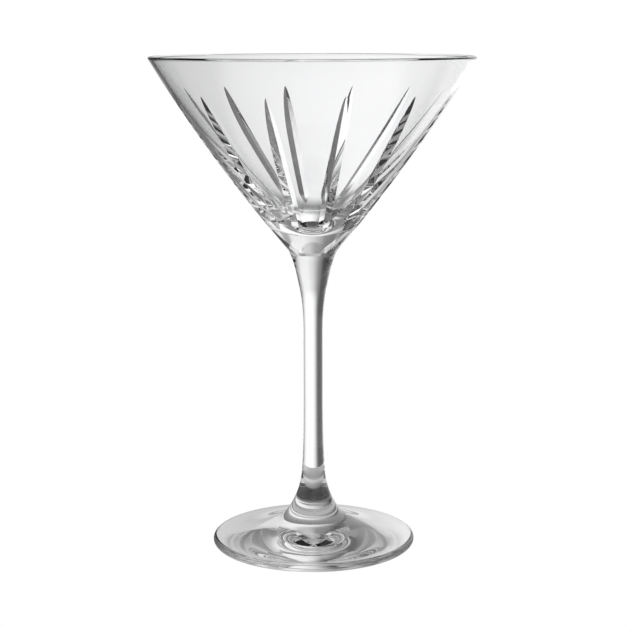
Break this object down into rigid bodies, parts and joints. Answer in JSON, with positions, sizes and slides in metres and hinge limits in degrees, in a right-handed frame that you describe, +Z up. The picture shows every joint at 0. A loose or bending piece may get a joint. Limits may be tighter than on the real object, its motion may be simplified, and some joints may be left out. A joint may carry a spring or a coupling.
{
  "type": "martini glass",
  "caption": "Cut-crystal cocktail glass: conical bowl with V-cut grooves, slim drawn stem and round foot.",
  "frame": {"origin": "centre of the foot's rest ring, on the plane the glass stands on", "axes": "+Z up along the glass's axis to the rim; -Y is the front, and one groove lies 12.5 degrees from it towards +X"},
  "size_m": [0.114, 0.114, 0.175],
  "materials": {
    "bowl_crystal": "polished clear crystal with wheel-cut V grooves",
    "stem_crystal": "fire-polished clear crystal",
    "foot_crystal": "fire-polished clear crystal, lightly rubbed on its rest ring"
  },
  "bodies": {
    "root": {"bowl": "bowl_crystal", "stem": "stem_crystal", "foot": "foot_crystal"}
  },
  "joints": []
}
